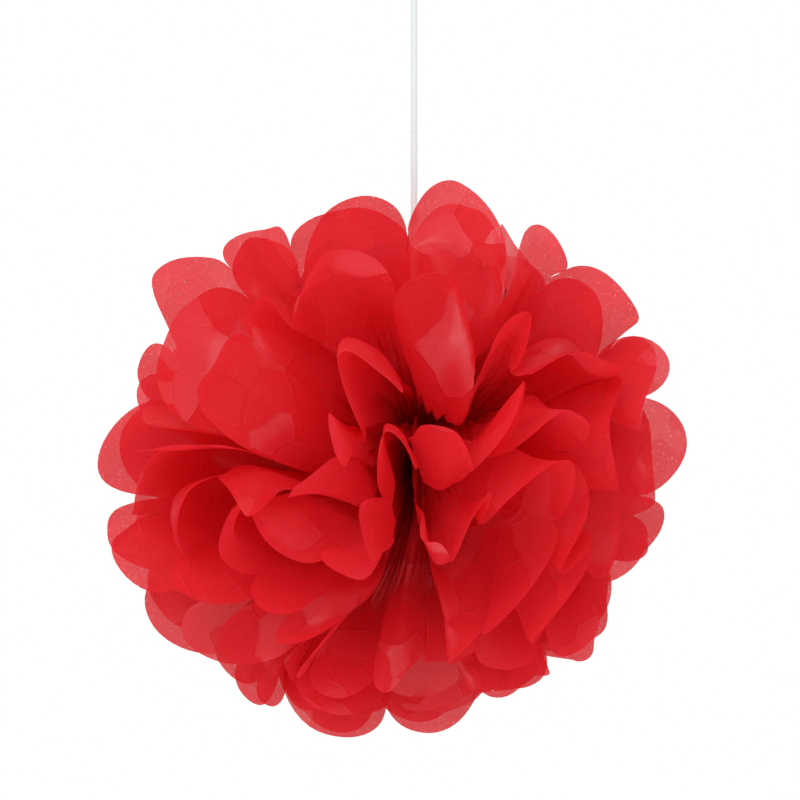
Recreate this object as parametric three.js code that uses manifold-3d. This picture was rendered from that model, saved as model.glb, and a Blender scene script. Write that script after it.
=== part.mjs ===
// Tissue paper pom-pom: a stack of tissue sheets, pleated together into one strip, tied at its middle,
// cut round at both ends, then fanned out and opened layer by layer into a ball of petals.
// It hangs from the tie on a flat ribbon that ends in a knotted loop.
// Millimetres, +Z up. The origin is at the top of the ribbon's loop, where the pom-pom hangs.
// X runs along the strip, and Y from the front pole of the ball to the rear one.
import * as THREE from "three";
import { mergeVertices } from "three/addons/utils/BufferGeometryUtils.js";
import Module from "manifold-3d";

const { clamp, degToRad, lerp, smoothstep } = THREE.MathUtils;

// Tissue sheets as cut and pleated
const sheetsPerSide = 4;
const pleatCount = 9;
const pleatWidth = 73;
const stripLength = 398;
const petalCutDepth = 35;
const tissueThickness = 0.6;
const tissueGap = 0.4;

// The gathered waist and the wire around it
const waistRadius = 6;
const tieWire = 1.2;
const clearance = 0.3;

// How the layers are opened: the length over which they part, the length over which the pleats spread, and
// the angle at each pole that no layer lies in
const openLength = 26;
const gatherLength = 135;
const poleAngle = 13;

// How uneven the gaps between layers are
const laneScatterRatio = 0.45;

// How deep the folds are, how much their depth varies, and how quickly it varies from layer to layer
const foldDepthRatio = 0.8;
const foldVarietyRatio = 0.4;
const foldTurnsRatio = 2.4;

// How much of a fold is left at the petals' ends, near a pole and near the middle of the ball
const poleRimFoldRatio = 0.75;
const middleRimFoldRatio = 0.45;

// How far the folds lean over near a pole, and how far towards it they may swing
const foldLeanRatio = 0.3;
const foldRoomRatio = 0.75;

// The widest that a flat pleat may stand beside an even one, and how round the folds are at each end
const widestFlatRatio = 1.35;
const waistSoftnessRatio = 0.3;
const rimSoftnessRatio = 0.9;

// Another seed gives another arrangement of petals
const seed = 10;

// How the petals sway: where on a petal it starts, how widely they are held beside the ribbon, the waves
// through the ball, the whole ball's shift, and how much it is flattened
const swayStart = 45;
const ribbonBerth = 45;
const petalDrift = 9;
const driftLength = 170;
const sideShift = 17;
const lift = 7;
const flattenRatio = 0.06;
const driftWaves = {
  x: { run: new THREE.Vector3(0, 1, 0.6), start: 1.1 },
  y: { run: new THREE.Vector3(1, 0, -0.7), start: 2.3 },
  z: { run: new THREE.Vector3(-0.5, 0.9, 0), start: 4.2 },
};

// How the petals round each pole are drawn together: where on the way to the pole it starts and is full, how
// far around the pole it reaches, and by how much
const cupStart = 20;
const cupEnd = 150;
const cupSpread = 70;
const cupPinchRatio = 0.45;

// How far the front and the rear of the ball nod: the angles at the poles, the angle over which a nod fades,
// and where on a petal it starts and is full
const frontNod = 46;
const rearNod = 30;
const nodSpread = 50;
const nodStart = 20;
const nodEnd = 110;

// Hanging ribbon
const ribbonWidth = 4.5;
const ribbonThickness = 0.5;
const hangHeight = 370;
const loopHeight = 34;
const loopWidth = 14;
const knotHeight = 5;
const knotDepth = 4;

// A thickened sheet's corners are drawn out no further than one over sharpestMitre, and their directions are
// found in this many steps
const sharpestMitre = 0.6;
const leaningSteps = 200;

// Nearer to the waist than this, a fold swings no further
const swingStart = 1;

// Facets of the wire, the ribbon's loop and its knot, and the distance at which corners are one
const wireSteps = 24;
const wireSides = 6;
const loopSteps = 16;
const knotSides = 8;
const knotRings = 6;
const weldDistance = 1e-4;

const sheetCount = 2 * sheetsPerSide;
const flatCount = Math.ceil(pleatCount / 2);
const petalLength = stripLength / 2 - waistRadius;
const layerPitch = tissueThickness + tissueGap;
const ribbonRoom = ribbonThickness + 2 * clearance;
const stackHalf = ribbonRoom / 2 + sheetsPerSide * layerPitch;
const seamHalf = tieWire / 2 + clearance + tissueThickness / 2;
const pole = degToRad(poleAngle);

// Repeatable number from 0 to 1 for a place in the ball
const mixing = new THREE.Vector3(12.9898, 78.233, 37.719);
const scrambling = 43758.5453;
function chance(a, b, c) {
  const mixed = Math.sin(mixing.dot(new THREE.Vector3(a, b, c)) + seed) * scrambling;
  return mixed - Math.floor(mixed);
}

// Where a layer lies between the two poles, from 0 to 1, when all are spread evenly
function evenLane(sheet) {
  return (sheet + 1) / (sheetCount + 1);
}

// The same along one line. The gaps between layers are uneven but never close up, so layers keep their
// order. Each fold and each petal's middle is a line with its own gaps, at the notches and at the ends.
function laneOnLine(sheet, line, level, fan) {
  const free = line > 0 && line < 2 * pleatCount;
  let before = 0;
  let total = 0;
  for (let gap = 0; gap <= sheetCount; gap++) {
    const uneven = free ? laneScatterRatio * (2 * chance(gap, line, 2 * level + fan) - 1) : 0;
    total += 1 + uneven;
    if (gap <= sheet) before = total;
  }
  return before / total;
}

// The same between lines: sharp at the folds, round at the middle of a petal
function laneAt(sheet, across, level, fan) {
  const pleat = Math.min(Math.floor(across), pleatCount - 1);
  const share = across - pleat;
  const fold = laneOnLine(sheet, 2 * (share < 0.5 ? pleat : pleat + 1), level, fan);
  const middle = laneOnLine(sheet, 2 * pleat + 1, level, fan);
  return lerp(fold, middle, Math.sin(Math.PI * Math.min(share, 1 - share)));
}

// Angle from the front pole for a place between the poles
function laneAngle(lane) {
  return lerp(pole, Math.PI - pole, lane);
}

// Side that a fold lies on: -1 for the front and 1 for the rear. Folds lie in pairs, so that every other
// pleat stands flat between its pair, and at the seams one half fan's petals lie over the other's.
function foldSide(fold, fan) {
  return Math.floor(fold / 2) % 2 === fan ? -1 : 1;
}

// Depth of one fold as a share. The layers beside the ribbon have none where it runs.
function foldDepth(sheet, fold, fan) {
  const angle = laneAngle(evenLane(sheet));
  const wave = Math.sin(foldTurnsRatio * angle + 2 * Math.PI * chance(fold, 0, fan));
  const depth = foldSide(fold, fan) * (foldDepthRatio + foldVarietyRatio * wave);
  return fold === 0 ? depth * Math.cos(angle) ** 2 : depth;
}

// The same between folds: straight near the waist, and round towards the petals' ends
function foldAt(sheet, across, fan, softness) {
  const pleat = Math.min(Math.floor(across), pleatCount - 1);
  const share = across - pleat;
  const bend = lerp(share, smoothstep(share, 0, 1), softness);
  return lerp(foldDepth(sheet, pleat, fan), foldDepth(sheet, pleat + 1, fan), bend);
}

// Widths of flat and steep pleats on an arc where even pleats would have the given width, and where a point
// lies along the arc in even pleats: flat pleats take their whole width, and steep ones share the rest
function spreadPleats(across, evenWidth) {
  const flat = clamp(pleatWidth / evenWidth, 1, widestFlatRatio);
  const steep = (pleatCount - flatCount * flat) / (pleatCount - flatCount);
  let flatBefore = 0;
  for (let pleat = 0; pleat < pleatCount; pleat += 2) flatBefore += clamp(across - pleat, 0, 1);
  return {
    flatWidth: flat * evenWidth,
    steepWidth: steep * evenWidth,
    place: steep * across + (flat - steep) * flatBefore,
  };
}

// Rise of a flat pleat's middle, where its paper is longer than the room for it, towards its folds' side.
// A shallow arc's rise squared is this share of its chord squared, times how much longer the arc is.
const shallowArc = 3 / 8;
function archAt(across, fan, room, length) {
  const pleat = Math.min(Math.floor(across), pleatCount - 1);
  if (pleat % 2 === 1) return 0;
  const rise = room * Math.sqrt(shallowArc * Math.max(0, length / room - 1));
  return foldSide(pleat, fan) * rise * Math.sin(Math.PI * (across - pleat));
}

// Length of a petal from the waist to its round-cut end
function petalEnd(across) {
  const fromMiddle = 2 * (across % 1) - 1;
  return petalLength - petalCutDepth * (1 - Math.sqrt(1 - fromMiddle * fromMiddle));
}

// Petals sway together, so that no layer crosses another: each step moves points along one axis by an
// amount that depends on the other two. The waist stays put, and no petal sways into the ribbon.
function sway(point) {
  const loose = () => smoothstep(point.length(), swayStart, petalLength);
  const besideRibbon = () => {
    const apart = 1 - Math.exp(-(point.x ** 2 + point.y ** 2) / (2 * ribbonBerth ** 2));
    return lerp(1, apart, smoothstep(point.z, 0, gatherLength));
  };
  const wave = (axis) => {
    const { run, start } = driftWaves[axis];
    return petalDrift * Math.sin((2 * Math.PI * run.dot(point)) / driftLength + start);
  };
  point.x += loose() * besideRibbon() * (wave("x") - sideShift);
  point.y += loose() * besideRibbon() * wave("y");
  point.z += loose() * (wave("z") + lift - flattenRatio * point.z);
  return point;
}

// Petals round a pole are drawn together
function closeCup(point) {
  const near = Math.exp(-(point.x ** 2 + point.z ** 2) / (2 * cupSpread ** 2));
  const drawn = 1 - cupPinchRatio * near * smoothstep(Math.abs(point.y), cupStart, cupEnd);
  point.x *= drawn;
  point.z *= drawn;
  return point;
}

// The front and the rear of the ball turn about a level line through the tie, which closes the poles
const front = new THREE.Vector3(0, -1, 0);
const rear = new THREE.Vector3(0, 1, 0);
const levelLine = new THREE.Vector3(1, 0, 0);
function nod(point) {
  const begun = smoothstep(point.length(), nodStart, nodEnd);
  for (const [facing, angle] of [[front, frontNod], [rear, -rearNod]]) {
    const fromPole = point.angleTo(facing) / degToRad(nodSpread);
    point.applyAxisAngle(levelLine, degToRad(angle) * begun * Math.exp(-(fromPole ** 2) / 2));
  }
  return point;
}

// A point of a sheet's middle surface. across counts pleats from the top seam, out is the distance from the
// waist, and fan is 0 for the +X half and 1 for the -X half.
function tissuePoint(sheet, fan, across, out) {
  const stackStep = sheet - (sheetCount - 1) / 2;
  const stack = stackStep * layerPitch + Math.sign(stackStep) * (ribbonRoom / 2);
  const waist = waistRadius - (Math.abs(stackStep) - 0.5) * layerPitch;
  const seamAngle = Math.asin(seamHalf / (waist + out));
  const pleatAngle = (Math.PI - 2 * seamAngle) / pleatCount;

  const notchLevel = petalLength - petalCutDepth;
  const parted = smoothstep(out, openLength, notchLevel);
  const curled = smoothstep(out, notchLevel - petalCutDepth, petalLength);
  const lane = lerp(lerp(evenLane(sheet), laneAt(sheet, across, 1, fan), parted),
    laneAt(sheet, across, 2, fan), curled);
  const angle = laneAngle(lane);

  const evenWidth = (polar) => (waist + out * Math.sin(polar)) * pleatAngle;
  const spread = pleatWidth * smoothstep(out, 0, gatherLength);
  const { flatWidth, steepWidth } = spreadPleats(across, evenWidth(angle));
  const foldHeight = Math.sqrt(Math.max(0, spread ** 2 - steepWidth ** 2)) / 2;
  const rim = smoothstep(out, gatherLength, petalLength);
  const rimFold = lerp(middleRimFoldRatio, poleRimFoldRatio, Math.cos(laneAngle(evenLane(sheet))) ** 2);
  const softness = lerp(waistSoftnessRatio, rimSoftnessRatio, rim);
  const fold = foldAt(sheet, across, fan, softness) * foldHeight * lerp(1, rimFold, rim)
    + archAt(across, fan, flatWidth, spread);
  const room = foldRoomRatio * Math.min(angle, Math.PI - angle);
  const swing = room * Math.tanh(fold / (room * Math.max(out, swingStart)));
  const polar = Math.PI / 2 + smoothstep(out, 0, openLength) * (angle + swing - Math.PI / 2);

  const level = clamp(polar, pole, Math.PI - pole);
  const { place } = spreadPleats(across, evenWidth(level));
  const fromTop = seamAngle + lerp(across, place, smoothstep(out, openLength, gatherLength)) * pleatAngle;
  const upright = Math.PI / 2 + (fan === 0 ? -fromTop : fromTop);
  const leaned = foldLeanRatio * Math.log(Math.sin(level)) * smoothstep(out, openLength, notchLevel);
  const around = upright + leaned;
  const radius = waist + out * Math.sin(polar);
  const point = new THREE.Vector3(radius * Math.cos(around), 0, radius * Math.sin(around));
  point.y = stack - out * Math.cos(polar);
  return closeCup(sway(nod(point)));
}

// Triangles between two rows of vertices that run the same way
function zipRows(inner, outer) {
  const faces = [];
  let a = 0;
  let b = 0;
  while (a < inner.length - 1 || b < outer.length - 1) {
    const nextInner = a < inner.length - 1 ? inner[a + 1].across : Infinity;
    const nextOuter = b < outer.length - 1 ? outer[b + 1].across : Infinity;
    if (nextInner <= nextOuter) {
      faces.push([inner[a].index, inner[a + 1].index, outer[b].index]);
      a += 1;
    } else {
      faces.push([inner[a].index, outer[b + 1].index, outer[b].index]);
      b += 1;
    }
  }
  return faces;
}

// Rows of vertices from the waist to the petals' ends: how far out, and vertices to a pleat
const sheetRows = [
  { share: 0, perPleat: 1 },
  { share: 0.14, perPleat: 1 },
  { share: 0.3, perPleat: 2 },
  { share: 0.46, perPleat: 3 },
  { share: 0.62, perPleat: 4 },
  { share: 0.8, perPleat: 4 },
  { share: 1, perPleat: 4 },
];

// One sheet's middle surface: a round waist with a half fan on each side
function sheetSurface(sheet) {
  const points = [new THREE.Vector3()];
  const faces = [];
  const waistRing = [];
  for (const fan of [0, 1]) {
    let inner = null;
    for (const { share, perPleat } of sheetRows) {
      const row = [];
      for (let step = 0; step <= pleatCount * perPleat; step++) {
        const inPleat = (1 - Math.cos((Math.PI * (step % perPleat)) / perPleat)) / 2;
        const across = Math.floor(step / perPleat) + inPleat;
        row.push({ across, index: points.length });
        points.push(tissuePoint(sheet, fan, across, share * petalEnd(across)));
      }
      if (inner) faces.push(...zipRows(inner, row).map((f) => (fan === 0 ? f : [f[0], f[2], f[1]])));
      else waistRing.push(row);
      inner = row;
    }
  }
  const [right, left] = waistRing;
  right.reverse();
  const ring = [...left, ...right].map((vertex) => vertex.index);
  points[0].y = points[ring[0]].y;
  for (let i = 0; i < ring.length; i++) faces.push([0, ring[i], ring[(i + 1) % ring.length]]);
  return { points, faces };
}

// The direction that leans least from every face round a corner
function middleDirection(faceNormals) {
  const middle = new THREE.Vector3();
  for (let step = 1; step <= leaningSteps; step++) {
    const leaning = faceNormals.map((normal) => normal.dot(middle));
    middle.lerp(faceNormals[leaning.indexOf(Math.min(...leaning))], 1 / step);
  }
  return middle.normalize();
}

// A closed solid of even thickness around a middle surface
function thicken({ points, faces }, thickness) {
  const around = points.map(() => []);
  faces.forEach((face) => {
    const [a, b, c] = face.map((v) => points[v]);
    const firstSide = new THREE.Vector3().subVectors(b, a);
    const secondSide = new THREE.Vector3().subVectors(c, a);
    const normal = firstSide.cross(secondSide).normalize();
    face.forEach((v) => around[v].push(normal));
  });
  const corners = points.map((point, v) => {
    const direction = middleDirection(around[v]);
    const upright = Math.min(...around[v].map((normal) => normal.dot(direction)));
    return direction.multiplyScalar(thickness / 2 / Math.max(sharpestMitre, upright));
  });

  const positions = [];
  for (const sign of [1, -1]) {
    points.forEach((point, v) => {
      const moved = point.clone().addScaledVector(corners[v], sign);
      positions.push(...moved.toArray());
    });
  }
  const under = points.length;
  const edges = new Set();
  faces.forEach(([a, b, c]) => [[a, b], [b, c], [c, a]].forEach(([p, q]) => edges.add(`${p},${q}`)));
  const triangles = [];
  faces.forEach(([a, b, c]) => triangles.push(a, b, c, under + a, under + c, under + b));
  edges.forEach((edge) => {
    const [p, q] = edge.split(",").map(Number);
    if (!edges.has(`${q},${p}`)) triangles.push(p, under + p, q, q, under + p, under + q);
  });
  const geometry = new THREE.BufferGeometry();
  geometry.setAttribute("position", new THREE.Float32BufferAttribute(positions, 3));
  geometry.setIndex(triangles);
  return geometry;
}

// Wire loop round the waist, in the plane between the two half fans
function tieLoop() {
  const halfHigh = waistRadius + clearance + tieWire / 2;
  const halfDeep = stackHalf + clearance + tieWire / 2;
  const bend = tieWire;
  const outline = new THREE.Path();
  outline.absarc(halfDeep - bend, halfHigh - bend, bend, 0, Math.PI / 2);
  outline.absarc(bend - halfDeep, halfHigh - bend, bend, Math.PI / 2, Math.PI);
  outline.absarc(bend - halfDeep, bend - halfHigh, bend, Math.PI, 1.5 * Math.PI);
  outline.absarc(halfDeep - bend, bend - halfHigh, bend, 1.5 * Math.PI, 2 * Math.PI);
  outline.closePath();
  const points = outline.getSpacedPoints(wireSteps).slice(0, -1).map((p) => new THREE.Vector3(0, p.x, p.y));
  const curve = new THREE.CatmullRomCurve3(points, true);
  return new THREE.TubeGeometry(curve, wireSteps, tieWire / 2, wireSides, true);
}

// Ribbon's middle line from the tie to its loop: straight up, then round a drop-shaped loop to the knot.
// The drop's curve is this wide at its widest, before it is drawn to the loop's width.
const widestBow = 0.77;
function ribbonPath() {
  const tieTop = waistRadius + 2 * clearance + tieWire;
  const knotLevel = hangHeight - loopHeight;
  const path = [new THREE.Vector3(0, 0, tieTop), new THREE.Vector3(0, 0, (tieTop + knotLevel) / 2)];
  for (let step = 0; step <= loopSteps; step++) {
    const turn = step / loopSteps;
    const bow = (loopWidth / 2 / widestBow) * Math.sin(2 * Math.PI * turn) * Math.sin(Math.PI * turn);
    const beside = ribbonRoom * smoothstep(turn, 0.5, 1);
    const rise = (loopHeight + ribbonThickness / 2) * Math.sin(Math.PI * turn);
    path.push(new THREE.Vector3(0, bow - beside, knotLevel + rise));
  }
  return path;
}

// Flat ribbon with its knot
function ribbonSolid() {
  const points = [];
  const faces = [];
  ribbonPath().forEach((centre, i) => {
    for (const side of [-1, 1]) points.push(centre.clone().setX((side * ribbonWidth) / 2));
    if (i > 0) faces.push([2 * i - 2, 2 * i - 1, 2 * i + 1], [2 * i - 2, 2 * i + 1, 2 * i]);
  });
  const knot = new THREE.SphereGeometry(1, knotSides, knotRings);
  knot.scale(ribbonWidth / 2 + clearance, knotDepth / 2, knotHeight / 2);
  knot.translate(0, -ribbonRoom / 2, hangHeight - loopHeight);
  return join(thicken({ points, faces }, ribbonThickness), knot);
}

const { Manifold, Mesh: ManifoldMesh } = await Module().then((wasm) => {
  wasm.setup();
  return wasm;
});

// One solid from two that overlap
function join(first, second) {
  const solids = [first, second].map((geometry) => {
    const bare = new THREE.BufferGeometry();
    bare.setAttribute("position", geometry.getAttribute("position"));
    bare.setIndex(geometry.getIndex());
    const { index, attributes } = mergeVertices(bare, weldDistance);
    const mesh = new ManifoldMesh({
      numProp: 3,
      vertProperties: new Float32Array(attributes.position.array),
      triVerts: new Uint32Array(index.array),
    });
    mesh.merge();
    return new Manifold(mesh);
  });
  const { vertProperties, triVerts } = Manifold.union(...solids).getMesh();
  const joined = new THREE.BufferGeometry();
  joined.setAttribute("position", new THREE.Float32BufferAttribute(vertProperties, 3));
  joined.setIndex(Array.from(triVerts));
  return joined;
}

const tissue = new THREE.MeshStandardMaterial({ color: "#d8141f", roughness: 0.7, metalness: 0 });
const wire = new THREE.MeshStandardMaterial({ color: "#c9c9c6", roughness: 0.35, metalness: 1 });
const ribbon = new THREE.MeshStandardMaterial({ color: "#ebebeb", roughness: 0.45, metalness: 0 });

function piece(name, geometry, material) {
  geometry.computeVertexNormals();
  const mesh = new THREE.Mesh(geometry, material);
  mesh.name = name;
  return mesh;
}

const ball = new THREE.Group();
ball.name = "ball";
ball.position.z = -hangHeight;
for (let sheet = 0; sheet < sheetCount; sheet++) {
  ball.add(piece(`tissue_sheet_${sheet + 1}`, thicken(sheetSurface(sheet), tissueThickness), tissue));
}
ball.add(piece("centre_tie", tieLoop(), wire));
ball.add(piece("hanging_ribbon", ribbonSolid(), ribbon));

const pomPom = new THREE.Group();
pomPom.name = "tissue_pom_pom";
pomPom.add(ball);

export default pomPom;
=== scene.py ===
import math

import bpy
import numpy as np
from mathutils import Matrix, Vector


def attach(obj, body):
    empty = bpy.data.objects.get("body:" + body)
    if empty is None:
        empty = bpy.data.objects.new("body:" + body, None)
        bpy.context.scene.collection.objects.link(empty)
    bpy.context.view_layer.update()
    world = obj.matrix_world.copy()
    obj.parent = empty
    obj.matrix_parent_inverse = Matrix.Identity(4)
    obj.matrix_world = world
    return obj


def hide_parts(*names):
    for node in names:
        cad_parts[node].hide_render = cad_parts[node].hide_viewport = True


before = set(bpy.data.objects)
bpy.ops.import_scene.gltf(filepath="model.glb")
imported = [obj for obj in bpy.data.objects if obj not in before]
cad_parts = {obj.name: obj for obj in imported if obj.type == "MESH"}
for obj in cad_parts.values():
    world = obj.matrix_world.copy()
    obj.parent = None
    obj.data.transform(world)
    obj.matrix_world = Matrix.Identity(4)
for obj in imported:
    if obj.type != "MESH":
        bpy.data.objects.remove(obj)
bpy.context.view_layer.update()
scene = bpy.context.scene
scene.view_settings.view_transform = "Standard"
print("frame: loaded")


# camera: level with the ball's middle, far off, as in the photograph
tieHeight = -0.370  # the tie hangs this far below the loop
shot = {
    "distance": 1.8, "pixel": 0.00069, "frame": 800, "sensor": 36,
    "sideways": -0.0097, "aboveTie": 0.0462,
}

camera = bpy.data.cameras.new("camera")
camera.sensor_width = shot["sensor"]
camera.lens = shot["sensor"] * shot["distance"] / (shot["pixel"] * shot["frame"])
cameraObject = bpy.data.objects.new("camera", camera)
cameraObject.location = (shot["sideways"], -shot["distance"], tieHeight + shot["aboveTie"])
cameraObject.rotation_euler = (math.pi / 2, 0, 0)
scene.collection.objects.link(cameraObject)
scene.camera = cameraObject
print("camera: set")


# finishes: a socket that takes part in sums, and a material that adds nodes
class Value:
    def __init__(self, finish, socket):
        self.finish = finish
        self.socket = socket

    def sum(self, operation, first, second):
        return self.finish.add("ShaderNodeMath", {"operation": operation}, {0: first, 1: second})

    def __add__(self, other):
        return self.sum("ADD", self, other)

    def __radd__(self, other):
        return self.sum("ADD", other, self)

    def __rsub__(self, other):
        return self.sum("SUBTRACT", other, self)

    def __rmul__(self, other):
        return self.sum("MULTIPLY", other, self)


class Finish:
    def __init__(self, block):
        self.block = block
        block.use_nodes = True
        self.tree = block.node_tree
        self.tree.nodes.clear()

    def add(self, kind, settings, sockets, outlet=0):
        node = self.tree.nodes.new(kind)
        for name, value in settings.items():
            setattr(node, name, value)
        for name, value in sockets.items():
            if isinstance(value, Value):
                self.tree.links.new(value.socket, node.inputs[name])
            else:
                node.inputs[name].default_value = value
        return Value(self, node.outputs[outlet]) if node.outputs else None

    def mixColour(self, share, first, second):
        return self.add("ShaderNodeMix", {"data_type": "RGBA"}, {0: share, 6: first, 7: second}, 2)

    def clouds(self, where, scale, detail=2.0, roughness=0.5, outlet=0):
        sockets = {"Vector": where, "Scale": scale, "Detail": detail, "Roughness": roughness}
        return self.add("ShaderNodeTexNoise", {}, sockets, outlet)

    def between(self, value, low, high):  # 0 below low, 1 above high
        return self.add("ShaderNodeMapRange", {"interpolation_type": "SMOOTHSTEP"},
                        {"Value": value, "From Min": low, "From Max": high})

    def show(self, surface, kind="ShaderNodeOutputMaterial"):
        self.add(kind, {}, {"Surface": surface})
        return self.block


def rgba(colour):
    return (*colour, 1.0)


def ease(value, start, end):
    share = np.clip((value - start) / (end - start), 0, 1)
    return share * share * (3 - 2 * share)


def newPiece(name, points, faces, finish):
    mesh = bpy.data.meshes.new(name)
    mesh.from_pydata(points, [], faces)
    mesh.polygons.foreach_set("use_smooth", np.ones(len(mesh.polygons), bool))
    mesh.materials.append(finish)
    mesh.update()
    piece = bpy.data.objects.new(name, mesh)
    scene.collection.objects.link(piece)
    return piece


def layPaper(piece, paper):  # the flat layout becomes the piece's UV map
    corners = np.zeros(len(piece.data.loops), int)
    piece.data.loops.foreach_get("vertex_index", corners)
    layout = piece.data.uv_layers.new(name="flat")
    layout.data.foreach_set("uv", np.asarray(paper, float)[corners].ravel())


# hanging ribbon: a flat, slightly see-through strip from the tie up to its knotted loop
ribbonMake = {
    "width": 0.0045, "thickness": 0.0003, "start": 0.0078, "hang": 0.370, "room": 0.0011,
    "loopHeight": 0.034, "loopWidth": 0.014, "widestBow": 0.77, "cadThickness": 0.0005,
    "straightSteps": 24, "loopSteps": 36,
}
ribbonLook = {
    # white and shade lean a little blue-green: a painted cool tint that cancels the red light the
    # ball throws on the ribbon
    "white": (0.86, 0.91, 0.92), "shade": (0.80, 0.86, 0.87), "glow": 0.20, "cover": 0.45,
    "roughness": 0.38, "roughnessRange": 0.15, "ribs": 4.0, "ribEdge": (0.5, 1.5),
    "weft": 90.0, "weftDetail": 3.0, "weftHeight": 0.5, "weaveStrength": 0.12, "weaveDepth": 0.0002,
}


def ribbonFinish(look):
    finish = Finish(bpy.data.materials.new("ribbon_satin"))
    along = finish.add("ShaderNodeTexCoord", {}, {}, "UV")
    ribs = finish.add("ShaderNodeTexWave", {"bands_direction": "X"},
                      {"Vector": along, "Scale": look["ribs"], "Distortion": 0.0})
    weft = finish.clouds(along, look["weft"], look["weftDetail"])
    pale = finish.between(ribs + weft, *look["ribEdge"])
    bump = finish.add("ShaderNodeBump", {}, {
        "Strength": look["weaveStrength"], "Distance": look["weaveDepth"],
        "Height": ribs + look["weftHeight"] * weft})
    satin = finish.add("ShaderNodeBsdfPrincipled", {}, {
        "Base Color": finish.mixColour(pale, rgba(look["shade"]), rgba(look["white"])),
        "Roughness": look["roughness"] + look["roughnessRange"] * weft, "Normal": bump,
        "Alpha": look["cover"]})
    light = finish.add("ShaderNodeBsdfTranslucent", {}, {"Color": rgba(look["white"])})
    return finish.show(finish.add("ShaderNodeMixShader", {}, {0: look["glow"], 1: satin, 2: light}))


def ribbonRoute(make):
    knotLevel = make["hang"] - make["loopHeight"]
    heights = np.linspace(make["start"], knotLevel, make["straightSteps"])
    route = [(0, 0, tieHeight + height) for height in heights]
    halfLoop = make["loopWidth"] / 2 / make["widestBow"]
    for turn in np.linspace(0, 1, make["loopSteps"] + 1)[1:]:
        bow = halfLoop * math.sin(2 * math.pi * turn) * math.sin(math.pi * turn)
        rise = (make["loopHeight"] + make["cadThickness"] / 2) * math.sin(math.pi * turn)
        route.append((0, bow - make["room"] * ease(turn, 0.5, 1), tieHeight + knotLevel + rise))
    return [Vector(point) for point in route]


def makeRibbon(make, finish):
    route = ribbonRoute(make)
    points, faces, paper = [], [], []
    walked = 0.0
    for i, here in enumerate(route):
        run = (route[min(i + 1, len(route) - 1)] - route[max(i - 1, 0)]).normalized()
        flatwise = Vector((0, run.z, -run.y)) * make["thickness"] / 2
        walked += (here - route[max(i - 1, 0)]).length
        for side, face in ((-1, -1), (1, -1), (1, 1), (-1, 1)):
            points.append(here + Vector((side * make["width"] / 2, 0, 0)) + face * flatwise)
            paper.append((0.5 + side / 2, walked / make["width"]))
        if i:
            low = 4 * (i - 1)
            for k in range(4):
                after = (k + 1) % 4
                faces.append((low + k, low + after, low + 4 + after, low + 4 + k))
    last = 4 * (len(route) - 1)
    faces += [(3, 2, 1, 0), (last, last + 1, last + 2, last + 3)]
    piece = newPiece("ribbon_strip", points, faces, finish)
    layPaper(piece, paper)
    return piece, route, walked


# the knot: the ribbon tied on itself, as a rounded trefoil
knotMake = {
    "half": (0.0017, 0.0012, 0.0019), "crossing": 1.6, "strand": 0.0008, "flattened": 0.7,
    "steps": 72, "sides": 10,
}


def makeKnot(make, centre, finish):
    turns = np.linspace(0, 2 * math.pi, make["steps"], endpoint=False)
    line = np.stack([np.sin(turns) + 2 * np.sin(2 * turns), -make["crossing"] * np.sin(3 * turns),
                     np.cos(turns) - 2 * np.cos(2 * turns)], 1) / 3
    line = line * make["half"]
    run = np.roll(line, -1, 0) - np.roll(line, 1, 0)
    run /= np.linalg.norm(run, axis=1)[:, None]
    across = np.cross(run, (0, 1, 0))
    across /= np.linalg.norm(across, axis=1)[:, None]
    depth = np.cross(run, across)
    points, faces, paper = [], [], []
    sides = make["sides"]
    for i in range(make["steps"]):
        for k in range(sides):
            angle = 2 * math.pi * k / sides
            ring = across[i] * math.cos(angle) + depth[i] * make["flattened"] * math.sin(angle)
            points.append(Vector(line[i] + make["strand"] * ring) + centre)
            paper.append((k / sides, i / sides))
            after = (i + 1) % make["steps"]
            faces.append((i * sides + k, i * sides + (k + 1) % sides,
                          after * sides + (k + 1) % sides, after * sides + k))
    piece = newPiece("ribbon_knot", points, faces, finish)
    layPaper(piece, paper)
    return piece


satin = ribbonFinish(ribbonLook)
ribbon, ribbonLine, ribbonLength = makeRibbon(ribbonMake, satin)
knotHeight = tieHeight + ribbonMake["hang"] - ribbonMake["loopHeight"]
knotCentre = Vector((0, -ribbonMake["room"] / 2, knotHeight))
knot = makeKnot(knotMake, knotCentre, satin)
for piece in (ribbon, knot):
    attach(piece, "root")
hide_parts("hanging_ribbon")
print("ribbon: made,", round(ribbonLength, 3), "m")


# tissue sheets: pleated together, tied, cut round, then fanned out and opened layer by layer
sheetMake = {
    "sheets": 8, "pleats": 9, "pleatWidth": 0.073, "stripLength": 0.398, "cutDepth": 0.035,
    "pitch": 0.001, "ribbonRoom": 0.0011, "waist": 0.006, "seam": 0.0012, "seamEnd": 0.00005,
    "openLength": 0.026, "gatherLength": 0.135, "pole": math.radians(13), "leastOut": 0.001,
    "laneScatter": 0.45, "foldDepth": 0.8, "foldVariety": 0.4, "foldTurns": 2.4,
    "poleRimFold": 0.75, "middleRimFold": 0.45, "foldLean": 0.3, "widestFlat": 1.35,
    "foldRoom": 0.75, "waistSoftness": 0.3, "rimSoftness": 0.9, "seed": 10,
}
nodMake = {  # how far the front and the rear of the ball nod, and over what angle and length
    "front": math.radians(46), "rear": math.radians(-30), "spread": math.radians(50),
    "start": 0.020, "end": 0.110,
}
swayMake = {
    "start": 0.045, "berth": 0.045, "drift": 0.009, "length": 0.170, "sideShift": 0.017,
    "lift": 0.007, "flatten": 0.06,
    "runs": ((0, 1, 0.6), (1, 0, -0.7), (-0.5, 0.9, 0)), "starts": (1.1, 2.3, 4.2),
}
cupMake = {"start": 0.020, "end": 0.150, "spread": 0.070, "pinch": 0.45}
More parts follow.
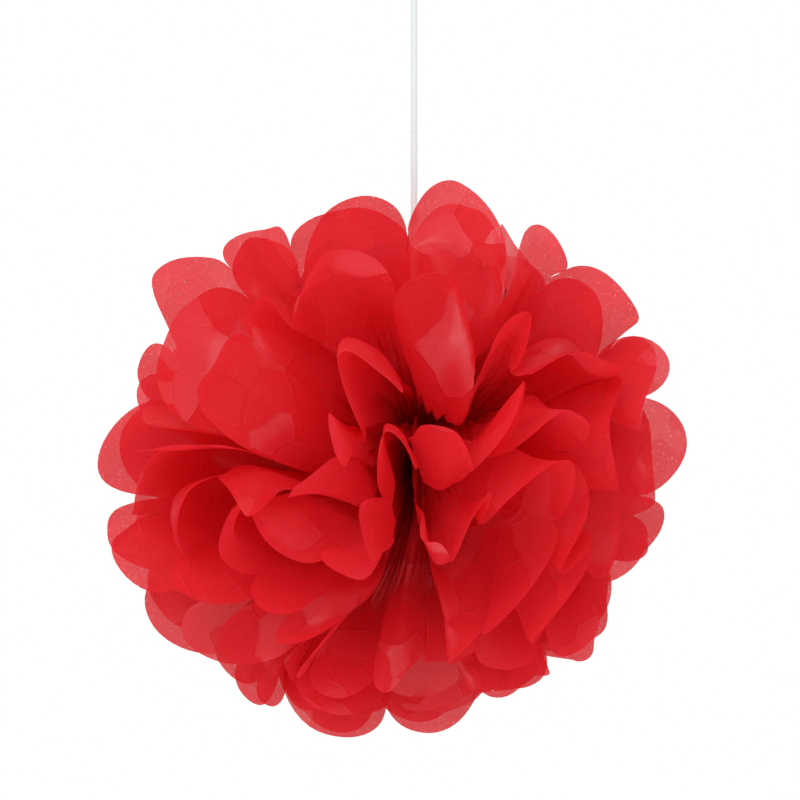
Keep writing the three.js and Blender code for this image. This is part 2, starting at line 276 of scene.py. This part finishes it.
crinkleMake = {
    "gathers": 4, "gatherDepth": 0.0056, "poleGathers": 0.0036, "poleNarrowness": 3,
    "gatherSpan": (0.003, 0.022, 0.050, 0.130),
    "waves": ((0.032, 0.060, 0.0016), (0.015, 0.032, 0.0007)),  # wide, long, deep
    "creases": ((0.041, 0.066, 0.0024), (0.024, 0.037, 0.0012)),
    "span": (0.030, 0.090), "twist": 0.014, "leastTwist": 0.5, "trim": 0.026, "trimRarity": 8,
}
scramble = {"runs": (12.9898, 78.233, 37.719), "stretch": 43758.5453}
salts = {"sheet": 11, "creases": 5, "twist": 7, "trim": 55}  # keep the random draws apart
gridMake = {"columns": 24, "rows": 56, "closeRows": 0.8}
petalLength = sheetMake["stripLength"] / 2 - sheetMake["waist"]
shallowArch = 3 / 8  # its rise squared, over its width and its spare length


def mixed(first, second, share):
    return first + (second - first) * share


def chance(a, b, c):
    first, second, third = scramble["runs"]
    turn = first * a + second * b + third * c + sheetMake["seed"]
    number = np.sin(turn) * scramble["stretch"]
    return number - np.floor(number)


def evenLane(sheet):
    return (sheet + 1) / (sheetMake["sheets"] + 1)


def laneOnLine(sheet, line, level, fan):  # uneven gaps between layers that never close up
    free = (line > 0) & (line < 2 * sheetMake["pleats"])
    before = total = 0 * line
    for gap in range(sheetMake["sheets"] + 1):
        uneven = 2 * chance(gap, line, 2 * level + fan) - 1
        total = total + 1 + free * sheetMake["laneScatter"] * uneven
        if gap == sheet:
            before = total
    return before / total


def inPleat(across):
    pleat = np.minimum(np.floor(across), sheetMake["pleats"] - 1)
    return pleat, across - pleat


def laneAt(sheet, across, level, fan):
    pleat, share = inPleat(across)
    fold = laneOnLine(sheet, 2 * np.where(share < 0.5, pleat, pleat + 1), level, fan)
    middle = laneOnLine(sheet, 2 * pleat + 1, level, fan)
    return mixed(fold, middle, np.sin(np.pi * np.minimum(share, 1 - share)))


def laneAngle(lane):
    return mixed(sheetMake["pole"], math.pi - sheetMake["pole"], lane)


def foldSide(fold, fan):  # folds lie in pairs, two to the front and two to the rear
    return np.where(np.floor(fold / 2) % 2 == fan, -1, 1)


def foldDepth(sheet, fold, fan):  # none where the ribbon runs between the middle layers
    angle = laneAngle(evenLane(sheet))
    wave = np.sin(sheetMake["foldTurns"] * angle + 2 * np.pi * chance(fold, 0, fan))
    depth = foldSide(fold, fan) * (sheetMake["foldDepth"] + sheetMake["foldVariety"] * wave)
    return np.where(fold == 0, depth * math.cos(angle) ** 2, depth)


def foldAt(sheet, across, fan, softness):
    pleat, share = inPleat(across)
    bend = mixed(share, ease(share, 0, 1), softness)
    return mixed(foldDepth(sheet, pleat, fan), foldDepth(sheet, pleat + 1, fan), bend)


def spreadPleats(across, evenWidth):  # flat pleats take their width, steep ones share the rest
    count = sheetMake["pleats"]
    flatPleats = range(0, count, 2)
    flat = np.clip(sheetMake["pleatWidth"] / evenWidth, 1, sheetMake["widestFlat"])
    steep = (count - len(flatPleats) * flat) / (count - len(flatPleats))
    flatBefore = sum(np.clip(across - pleat, 0, 1) for pleat in flatPleats)
    return flat * evenWidth, steep * evenWidth, steep * across + (flat - steep) * flatBefore


def arch(across, fan, room, length):  # a flat pleat rises where its paper is longer than its room
    pleat, share = inPleat(across)
    rise = room * np.sqrt(shallowArch * np.maximum(0, length / room - 1))
    return np.where(pleat % 2 == 0, foldSide(pleat, fan) * rise * np.sin(np.pi * share), 0)


def petalEnd(across):
    fromMiddle = 2 * (across % 1) - 1
    return petalLength - sheetMake["cutDepth"] * (1 - np.sqrt(1 - fromMiddle ** 2))


def trimmedEnd(sheet, fan, across):  # a few petals are cut shorter than the rest
    pleat, share = inPleat(across)
    rare = chance(pleat, sheet, salts["trim"] + 2 * fan) ** crinkleMake["trimRarity"]
    return petalEnd(across) - crinkleMake["trim"] * rare * (1 - (2 * share - 1) ** 2)


def sway(points):
    def loose():
        return ease(np.linalg.norm(points, axis=1), swayMake["start"], petalLength)

    def besideRibbon():
        apart = 1 - np.exp(-(points[:, 0] ** 2 + points[:, 1] ** 2) / (2 * swayMake["berth"] ** 2))
        return mixed(1, apart, ease(points[:, 2], 0, sheetMake["gatherLength"]))

    def wave(axis):
        turn = 2 * np.pi * points @ np.array(swayMake["runs"][axis], float) / swayMake["length"]
        return swayMake["drift"] * np.sin(turn + swayMake["starts"][axis])

    points[:, 0] += loose() * besideRibbon() * (wave(0) - swayMake["sideShift"])
    points[:, 1] += loose() * besideRibbon() * wave(1)
    points[:, 2] += loose() * (wave(2) + swayMake["lift"] - swayMake["flatten"] * points[:, 2])


def closeCup(points):  # petals round each pole are drawn together
    near = np.exp(-(points[:, 0] ** 2 + points[:, 2] ** 2) / (2 * cupMake["spread"] ** 2))
    far = ease(np.abs(points[:, 1]), cupMake["start"], cupMake["end"])
    points[:, [0, 2]] *= (1 - cupMake["pinch"] * near * far)[:, None]


def nod(points):  # the front and the rear turn about a level line through the tie
    length = np.linalg.norm(points, axis=1)
    begun = ease(length, nodMake["start"], nodMake["end"])
    for facing, angle in ((-1, nodMake["front"]), (1, nodMake["rear"])):
        fromPole = np.arccos(np.clip(facing * points[:, 1] / length, -1, 1)) / nodMake["spread"]
        turn = angle * begun * np.exp(-fromPole ** 2 / 2)
        y, z = points[:, 1].copy(), points[:, 2].copy()
        points[:, 1] = y * np.cos(turn) - z * np.sin(turn)
        points[:, 2] = y * np.sin(turn) + z * np.cos(turn)


def gathers(sheet, across, out):  # small pleats where the paper is bunched beside the tie
    start, full, fade, end = crinkleMake["gatherSpan"]
    toPole = abs(2 * evenLane(sheet) - 1) ** crinkleMake["poleNarrowness"]
    depth = crinkleMake["gatherDepth"] + crinkleMake["poleGathers"] * toPole
    depth = depth * ease(out, start, full) * (1 - ease(out, fade, end))
    return depth * np.sin(2 * np.pi * crinkleMake["gathers"] * across)


def twist(sheet, fan, across, out):  # each petal's end turns a little to one side or the other
    pleat, share = inPleat(across)
    turn = 2 * chance(pleat, sheet, salts["twist"] + fan) - 1
    amount = np.sign(turn) * mixed(crinkleMake["leastTwist"], 1, np.abs(turn))
    begun = ease(out, petalLength - sheetMake["cutDepth"], petalLength)
    return crinkleMake["twist"] * amount * (2 * share - 1) * begun


def tissuePoints(sheet, fan, across, out):
    make = sheetMake
    step = sheet - (make["sheets"] - 1) / 2
    stack = step * make["pitch"] + math.copysign(make["ribbonRoom"] / 2, step)
    waist = make["waist"] - (abs(step) - 0.5) * make["pitch"]
    seam = mixed(make["seam"], make["seamEnd"], ease(out, make["seam"], make["waist"]))
    seamAngle = np.arcsin(seam / (waist + out))
    pleatAngle = (np.pi - 2 * seamAngle) / make["pleats"]
    notch = petalLength - make["cutDepth"]

    parted = ease(out, make["openLength"], notch)
    curled = ease(out, notch - make["cutDepth"], petalLength)
    lane = mixed(mixed(evenLane(sheet), laneAt(sheet, across, 1, fan), parted),
                 laneAt(sheet, across, 2, fan), curled)
    angle = laneAngle(lane)

    flatWidth, steepWidth, _ = spreadPleats(across, (waist + out * np.sin(angle)) * pleatAngle)
    spread = make["pleatWidth"] * ease(out, 0, make["gatherLength"])
    foldHeight = np.sqrt(np.maximum(0, spread ** 2 - steepWidth ** 2)) / 2
    rim = ease(out, make["gatherLength"], petalLength)
    nearPole = math.cos(laneAngle(evenLane(sheet))) ** 2
    rimFold = mixed(make["middleRimFold"], make["poleRimFold"], nearPole)
    softness = mixed(make["waistSoftness"], make["rimSoftness"], rim)
    fold = foldAt(sheet, across, fan, softness) * foldHeight * mixed(1, rimFold, rim)
    fold = fold + arch(across, fan, flatWidth, spread) + gathers(sheet, across, out)
    fold = fold + twist(sheet, fan, across, out)
    room = make["foldRoom"] * np.minimum(angle, np.pi - angle)
    swing = room * np.tanh(fold / (room * np.maximum(out, make["leastOut"])))
    polar = np.pi / 2 + ease(out, 0, make["openLength"]) * (angle + swing - np.pi / 2)

    level = np.clip(polar, make["pole"], np.pi - make["pole"])
    place = spreadPleats(across, (waist + out * np.sin(level)) * pleatAngle)[2]
    settled = ease(out, make["openLength"], make["gatherLength"])
    fromTop = seamAngle + mixed(across, place, settled) * pleatAngle
    around = np.pi / 2 + (fromTop if fan else -fromTop)
    around = around + make["foldLean"] * np.log(np.sin(level)) * parted
    radius = waist + out * np.sin(polar)
    points = np.stack([radius * np.cos(around), stack - out * np.cos(polar),
                       radius * np.sin(around)], 1)
    nod(points)
    sway(points)
    closeCup(points)
    return points


def paperNoise(across, along, salt):  # soft random heights from -1 to 1 on the flat paper
    column, row = np.floor(across), np.floor(along)
    right, up = ease(across - column, 0, 1), ease(along - row, 0, 1)
    low = mixed(chance(column, row, salt), chance(column + 1, row, salt), right)
    high = mixed(chance(column, row + 1, salt), chance(column + 1, row + 1, salt), right)
    return 2 * mixed(low, high, up) - 1


def makeSheet(sheet, finish):
    columns, rows, pleats = gridMake["columns"], gridMake["rows"], sheetMake["pleats"]
    within = (1 - np.cos(np.pi * np.arange(columns) / columns)) / 2
    across = np.append((np.arange(pleats)[:, None] + within).ravel(), pleats)
    shares = np.linspace(0, 1, rows + 1) ** gridMake["closeRows"]
    width = len(across)
    grid = np.arange((rows + 1) * width).reshape(rows + 1, width)
    points, paper, outs, faces = [], [], [], []
    for fan in (0, 1):
        outFrom = shares[:, None] * trimmedEnd(sheet, fan, across)
        flatAcross = np.broadcast_to(across, outFrom.shape).ravel()
        outs.append(outFrom.ravel())
        points.append(tissuePoints(sheet, fan, flatAcross, outFrom.ravel()))
        half = (outFrom.ravel() + sheetMake["waist"]) * (-1 if fan else 1)
        paper.append(np.stack([flatAcross * sheetMake["pleatWidth"], half], 1))
        here = grid + fan * grid.size
        quads = np.stack([here[:-1, :-1], here[:-1, 1:], here[1:, 1:], here[1:, :-1]], -1)
        quads = quads.reshape(-1, 4)
        faces += (quads if fan else quads[:, ::-1]).tolist()
    ring = [*(grid[0] + grid.size), *grid[0][::-1]]
    middle = 2 * grid.size
    faces += [(middle, int(ring[i - 1]), int(ring[i])) for i in range(len(ring))]
    points = np.vstack([*points, [(0, points[0][0, 1], 0)]])
    paper = np.vstack([*paper, [(pleats * sheetMake["pleatWidth"] / 2, 0)]])
    outs = np.append(np.concatenate(outs), 0)

    points[:, 2] += tieHeight
    piece = newPiece(f"petals_{sheet + 1}", points.tolist(), faces, finish)
    normals = np.zeros(points.size)
    piece.data.vertices.foreach_get("normal", normals)
    height = 0
    salt = salts["sheet"] * sheet
    for i, (wide, long, deep) in enumerate(crinkleMake["waves"]):
        height = height + deep * paperNoise(paper[:, 0] / wide, paper[:, 1] / long, salt + i)
    salt = salt + salts["creases"]
    for i, (wide, long, deep) in enumerate(crinkleMake["creases"]):  # sharp where the sign changes
        bend = paperNoise(paper[:, 0] / wide, paper[:, 1] / long, salt + i)
        height = height - deep * np.abs(bend)
    height = height * ease(outs, *crinkleMake["span"])
    points += height[:, None] * normals.reshape(-1, 3)
    piece.data.vertices.foreach_set("co", points.ravel())
    piece.data.update()
    flat = (pleats * sheetMake["pleatWidth"], sheetMake["stripLength"])
    layPaper(piece, paper / flat + (0, 0.5))
    return piece, flat


# tissue finish: thin dyed paper that lets light through, with blotches, pores, creases, a wax coat
# on some facets and a painted sheen (a paler red in the colour) on the same facets
tissueLook = {
    "red": (0.77, 0.015, 0.026), "bright": (0.83, 0.030, 0.046), "deep": (0.72, 0.013, 0.023),
    "clouds": 22.0, "cloudDetail": 3.0, "cloudEdge": (0.3, 0.7),
    "blotches": 330.0, "blotchDetail": 3.0, "blotchRoughness": 0.6, "blotchEdge": (0.45, 0.75),
    "blotchShare": 0.6, "blotchHeight": 0.06,
    "glow": (0.94, 0.030, 0.045), "glowShare": 0.47,
    "cover": 0.90, "poreCover": 0.66, "pores": 620.0, "poreEdge": (0.58, 0.74),
    "creases": 30.0, "creaseWander": 40.0, "wanderDetail": 1.0, "creaseBend": 0.012,
    "creaseWidth": 0.035, "creaseShare": 0.15, "creaseHeight": 0.35,
    "crumples": 48.0, "crumpleDetail": 2.5, "crumpleHeight": 0.5,
    "bumpStrength": 0.7, "bumpDepth": 0.0016,
    "roughness": 0.40, "roughnessRange": 0.2, "gloss": 0.16,
    # "sheen" is a painted sheen: a paler red laid into the colour of the glossy facets
    "sheen": (0.90, 0.060, 0.080), "paintedSheenShare": 0.4, "sheenClouds": 11.0, "cloudShare": 0.9,
    "sheenEdge": (0.95, 1.40), "wax": 0.6, "waxShine": 1.7, "waxRoughness": 0.28,
}


def tissueFinish(look):
    finish = Finish(bpy.data.materials.new("red_tissue"))
    place = finish.add("ShaderNodeTexCoord", {}, {}, "Object")
    clouds = finish.clouds(place, look["clouds"], look["cloudDetail"])
    blotches = finish.clouds(place, look["blotches"], look["blotchDetail"], look["blotchRoughness"])
    pores = finish.between(finish.clouds(place, look["pores"]), *look["poreEdge"])

    wander = finish.clouds(place, look["creaseWander"], look["wanderDetail"], outlet="Color")
    bent = finish.add("ShaderNodeVectorMath", {"operation": "MULTIPLY_ADD"},
                      {0: wander, 1: [look["creaseBend"]] * 3, 2: place})
    cells = {"Vector": bent, "Scale": look["creases"]}
    edges = finish.add("ShaderNodeTexVoronoi", {"feature": "DISTANCE_TO_EDGE"}, cells)
    crease = 1 - finish.between(edges, 0.0, look["creaseWidth"])
    facets = finish.add("ShaderNodeTexVoronoi", {}, cells, "Color")
    facet = finish.add("ShaderNodeSeparateColor", {}, {"Color": facets})
    drift = finish.clouds(place, look["sheenClouds"])
    # facets that get the wax coat and, in their colour, a painted sheen
    waxAndPaintedSheen = finish.between(facet + look["cloudShare"] * drift, *look["sheenEdge"])

    dye = finish.between(clouds, *look["cloudEdge"])
    colour = finish.mixColour(dye, rgba(look["deep"]), rgba(look["red"]))
    blotched = finish.between(blotches, *look["blotchEdge"])
    paler = look["blotchShare"] * blotched + look["creaseShare"] * crease
    colour = finish.mixColour(paler, colour, rgba(look["bright"]))
    # painted sheen: the colour turns towards a paler red on the same facets that get the wax coat
    colour = finish.mixColour(look["paintedSheenShare"] * waxAndPaintedSheen, colour, rgba(look["sheen"]))

    crumples = finish.add("ShaderNodeTexNoise", {"noise_type": "RIDGED_MULTIFRACTAL"}, {
        "Vector": place, "Scale": look["crumples"], "Detail": look["crumpleDetail"]})
    height = look["crumpleHeight"] * crumples + look["creaseHeight"] * crease
    bump = finish.add("ShaderNodeBump", {}, {
        "Strength": look["bumpStrength"], "Distance": look["bumpDepth"],
        "Height": height + look["blotchHeight"] * blotches})
    dyed = finish.add("ShaderNodeBsdfPrincipled", {}, {
        "Base Color": colour, "Roughness": look["roughness"] + look["roughnessRange"] * blotches,
        "Normal": bump, "Specular IOR Level": look["gloss"],
        "Coat Weight": look["wax"] * waxAndPaintedSheen, "Coat IOR": look["waxShine"],
        "Coat Roughness": look["waxRoughness"],
        "Alpha": look["cover"] - (look["cover"] - look["poreCover"]) * pores})
    light = finish.add("ShaderNodeBsdfTranslucent", {}, {"Color": rgba(look["glow"])})
    finish.block.use_transparent_shadow = False  # halves the render time
    both = {0: look["glowShare"], 1: dyed, 2: light}
    return finish.show(finish.add("ShaderNodeMixShader", {}, both))


tissue = tissueFinish(tissueLook)
cutAway = sheetMake["cutDepth"] * sheetMake["pleatWidth"] * (1 - math.pi / 4)  # at one petal's end
for sheet in range(sheetMake["sheets"]):
    petals, flatSize = makeSheet(sheet, tissue)
    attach(petals, "root")
    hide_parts(f"tissue_sheet_{sheet + 1}")
    cutArea = flatSize[0] * flatSize[1] - 2 * sheetMake["pleats"] * cutAway
print("tissue:", sheetMake["sheets"], "sheets made")


# tie wire: bright drawn steel on the CAD node itself
wireLook = {
    "steel": (0.62, 0.62, 0.60), "dull": (0.42, 0.42, 0.41), "grain": 900.0, "grainDetail": 4.0,
    "grainEdge": (0.35, 0.65), "roughness": 0.3, "roughnessRange": 0.2,
    "bumpStrength": 0.3, "bumpDepth": 0.0001,
}


def wireFinish(look):
    finish = Finish(bpy.data.materials.new("tie_steel"))
    place = finish.add("ShaderNodeTexCoord", {}, {}, "Object")
    drawn = finish.clouds(place, look["grain"], look["grainDetail"])
    bright = finish.between(drawn, *look["grainEdge"])
    bump = finish.add("ShaderNodeBump", {}, {
        "Strength": look["bumpStrength"], "Distance": look["bumpDepth"], "Height": drawn})
    return finish.show(finish.add("ShaderNodeBsdfPrincipled", {}, {
        "Base Color": finish.mixColour(bright, rgba(look["dull"]), rgba(look["steel"])),
        "Metallic": 1.0, "Roughness": look["roughness"] + look["roughnessRange"] * drawn,
        "Normal": bump}))


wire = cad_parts["centre_tie"]
wire.data.materials.clear()
wire.data.materials.append(wireFinish(wireLook))
print("tie: finished")


# floor, lamp and white surroundings
studio = {
    "floorLevel": -1.0, "floorHalf": 1.6, "floorColour": (0.86, 0.86, 0.85), "floorShade": 0.97,
    "floorGrain": 30.0, "grainDetail": 3.0, "floorRoughness": 0.8,
    "keyPlace": (-0.9, -1.5, 0.9), "keySize": 1.3, "keyPower": 14.0, "surround": 0.90,
}


def floorFinish(look):
    finish = Finish(bpy.data.materials.new("floor_pale"))
    place = finish.add("ShaderNodeTexCoord", {}, {}, "Object")
    grain = finish.clouds(place, look["floorGrain"], look["grainDetail"])
    darker = [look["floorShade"] * part for part in look["floorColour"]]
    return finish.show(finish.add("ShaderNodeBsdfPrincipled", {}, {
        "Base Color": finish.mixColour(grain, rgba(look["floorColour"]), rgba(darker)),
        "Roughness": look["floorRoughness"]}))


half = studio["floorHalf"]
level = studio["floorLevel"]
floorMesh = bpy.data.meshes.new("floor")
corners = [(-half, -half, level), (half, -half, level), (half, half, level), (-half, half, level)]
floorMesh.from_pydata(corners, [], [(0, 1, 2, 3)])
floorMesh.materials.append(floorFinish(studio))
floor = bpy.data.objects.new("floor", floorMesh)
scene.collection.objects.link(floor)

keyLamp = bpy.data.lights.new("key", "AREA")
keyLamp.size = studio["keySize"]
keyLamp.energy = studio["keyPower"]
key = bpy.data.objects.new("key", keyLamp)
key.location = studio["keyPlace"]
aim = Vector((0, 0, tieHeight)) - key.location
key.rotation_euler = aim.to_track_quat("-Z", "Y").to_euler()
scene.collection.objects.link(key)

scene.world = scene.world or bpy.data.worlds.new("surroundings")
around = Finish(scene.world)
rays = {name: around.add("ShaderNodeLightPath", {}, {}, name)
        for name in ("Is Camera Ray", "Is Glossy Ray", "Is Transmission Ray")}
seen = around.add("ShaderNodeMath", {"operation": "ADD", "use_clamp": True}, {
    0: rays["Is Camera Ray"], 1: rays["Is Glossy Ray"] + rays["Is Transmission Ray"]})
strength = studio["surround"] + (1 - studio["surround"]) * seen
backdrop = {"Color": rgba((1, 1, 1)), "Strength": strength}
around.show(around.add("ShaderNodeBackground", {}, backdrop), "ShaderNodeOutputWorld")
print("studio: set")
